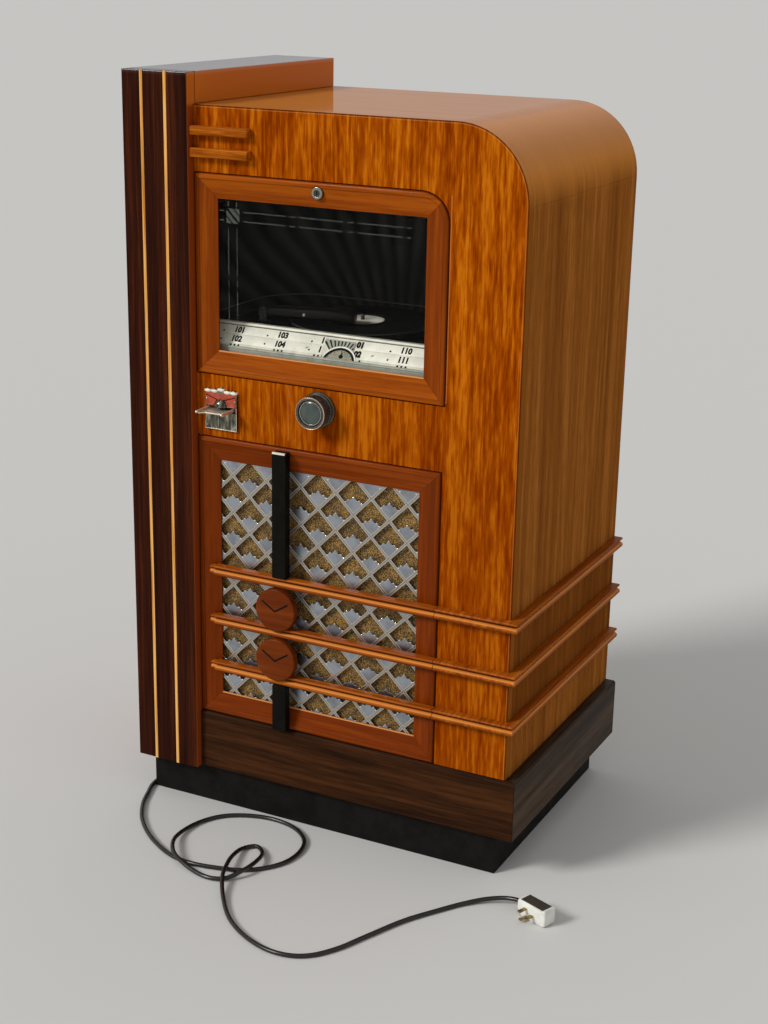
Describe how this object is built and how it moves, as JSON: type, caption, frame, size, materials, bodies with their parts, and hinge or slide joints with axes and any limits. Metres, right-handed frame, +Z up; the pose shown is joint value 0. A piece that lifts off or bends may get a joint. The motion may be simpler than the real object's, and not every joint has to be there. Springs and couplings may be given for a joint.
{
  "type": "jukebox",
  "caption": "Veneered floor-standing jukebox: tall inlaid pillar, rounded top corner, glazed record deck door, pierced grille door with rails and discs, mains lead",
  "frame": {"origin": "on the floor, under the middle of the cabinet's outer box, without its free mains lead and plug", "axes": "+Z up; -Y is the front, with the doors; +X to the right as seen from the front"},
  "size_m": [0.8974, 0.9568, 1.32],
  "materials": {
    "golden_veneer": "semi-gloss ribbon-figured veneer",
    "brown_walnut": "glossy brown veneer",
    "red_mahogany": "glossy red-brown solid wood",
    "dark_rosewood": "glossy dark veneer",
    "base_walnut": "dark polished wood",
    "black_stained_wood": "matt black stain",
    "boxwood_inlay": "pale inlay",
    "plywood": "bare plywood",
    "window_glass": "clear glass",
    "chrome": "polished plating",
    "steel": "plain steel",
    "nickel_grille": "dull pierced metal",
    "gold_speaker_cloth": "glittering gold-brown cloth",
    "black_enamel": "black enamel",
    "record_black": "glossy black, grooved",
    "brown_bakelite": "glossy dark brown",
    "cream_card": "cream title strips",
    "paper_cone": "dark paper cone",
    "black_rubber": "smooth black rubber",
    "white_plastic": "white moulded plastic"
  },
  "bodies": {
    "cabinet": {"toe_kick": "black_stained_wood", "floor_board": "plywood", "base_front": "base_walnut", "base_side": "base_walnut", "pillar_front": "dark_rosewood", "pillar_inlay_left": "boxwood_inlay", "pillar_inlay_right": "boxwood_inlay", "pillar_side": "dark_rosewood", "pillar_cap": "red_mahogany", "pillar_back": "dark_rosewood", "left_wall": "plywood", "top_panel": "brown_walnut", "corner_bend": "brown_walnut", "side_panel": "brown_walnut", "back_panel": "plywood", "front_panel": "golden_veneer", "short_bar_upper": "red_mahogany", "short_bar_lower": "red_mahogany", "body_rail_upper": "red_mahogany", "body_rail_middle": "red_mahogany", "body_rail_lower": "red_mahogany", "window_hinge_rod": "steel", "grille_hinge_rod": "steel", "deck_board": "black_enamel", "motor": "steel", "backdrop": "black_enamel", "title_panel": "cream_card", "tonearm_base": "chrome", "coin_plate": "chrome", "coin_chute": "steel", "cash_box": "steel", "knob_ring": "chrome", "baffle_board": "plywood", "speaker_frame": "black_enamel", "speaker_cone": "paper_cone", "amplifier": "steel", "strain_relief": "black_rubber", "power_cord": "black_rubber", "plug": "white_plastic"},
    "window_door": {"window_frame": "red_mahogany", "window_glass": "window_glass", "lock_body": "chrome"},
    "lock_cylinder": {"lock_plug": "steel"},
    "grille_door": {"grille_frame": "red_mahogany", "grille_sheet": "nickel_grille", "speaker_cloth": "gold_speaker_cloth", "door_rail_upper": "red_mahogany", "door_rail_middle": "red_mahogany", "door_rail_lower": "red_mahogany", "clock_disc_upper": "red_mahogany", "clock_disc_lower": "red_mahogany", "black_bar_upper": "black_stained_wood", "black_bar_lower": "black_stained_wood"},
    "turntable": {"turntable_platter": "steel", "record": "record_black"},
    "tonearm_swivel": {"tonearm_yoke": "chrome"},
    "tonearm_lever": {"tonearm": "brown_bakelite"},
    "selector": {"selector_knob": "black_enamel"},
    "pointer": {"dial_pointer": "black_enamel"},
    "coin_pusher": {"coin_slide": "chrome"}
  },
  "joints": [
    {"name": "window_door_hinge", "type": "hinge", "parent": "cabinet", "child": "window_door", "pos_m": [-0.245, -0.2225, 0.824], "axis": [1, 0, 0], "range_deg": [0, 80]},
    {"name": "lock_turn", "type": "hinge", "parent": "window_door", "child": "lock_cylinder", "pos_m": [-0.011, -0.23, 1.141], "axis": [0, -1, 0], "range_deg": [0, 90]},
    {"name": "grille_door_hinge", "type": "hinge", "parent": "cabinet", "child": "grille_door", "pos_m": [-0.24, -0.2225, 0.1885], "axis": [0, 0, -1], "range_deg": [0, 80]},
    {"name": "turntable_spin", "type": "hinge", "parent": "cabinet", "child": "turntable", "pos_m": [-0.024, -0.038, 0.884], "axis": [0, 0, 1], "continuous": true},
    {"name": "tonearm_swing", "type": "hinge", "parent": "cabinet", "child": "tonearm_swivel", "pos_m": [-0.159, -0.145, 0.905], "axis": [0, 0, -1], "range_deg": [0, 26]},
    {"name": "tonearm_lift", "type": "hinge", "parent": "tonearm_swivel", "child": "tonearm_lever", "pos_m": [-0.159, -0.145, 0.92], "axis": [0.3256, -0.9455, 0], "range_deg": [0, 20]},
    {"name": "selector_turn", "type": "hinge", "parent": "cabinet", "child": "selector", "pos_m": [-0.006, -0.2308, 0.784], "axis": [0, 1, 0], "range_deg": [-150, 150]},
    {"name": "pointer_turn", "type": "hinge", "parent": "cabinet", "child": "pointer", "pos_m": [0.02, -0.19999, 0.87152], "axis": [0, 0.7643, -0.6449], "range_deg": [-75, 75]},
    {"name": "coin_push", "type": "slide", "parent": "cabinet", "child": "coin_pusher", "axis": [0, 1, 0], "range_m": [0, 0.03], "stiffness_N_per_m": 60, "springref_m": -0.01}
  ],
  "couplings": [
    {"joint": "pointer_turn", "follows": "selector_turn", "ratio": 0.5}
  ]
}
